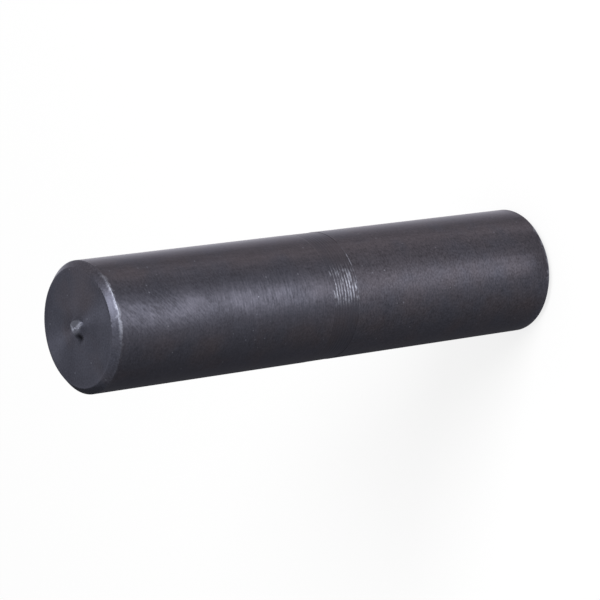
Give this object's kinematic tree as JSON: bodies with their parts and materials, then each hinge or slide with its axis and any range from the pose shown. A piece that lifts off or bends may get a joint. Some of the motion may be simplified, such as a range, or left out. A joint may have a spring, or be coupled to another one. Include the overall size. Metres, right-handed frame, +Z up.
{
  "type": "shear pin",
  "caption": "Plain headless round steel shear pin with chamfered ends and a shallow turned relief at mid-length that marks where it gives way.",
  "frame": {"origin": "centre of the faced lower end, on the pin's axis", "axes": "+Z up the pin's axis, from the faced end towards the end that keeps the parting-off pip; the pin is round, so X and Y are any two directions square to it"},
  "size_m": [0.014, 0.014, 0.0606],
  "materials": {
    "black_oxide_steel": "black oxide over fine turning marks, satin, lightly oiled"
  },
  "bodies": {
    "root": {"shear_pin": "black_oxide_steel"}
  },
  "joints": []
}
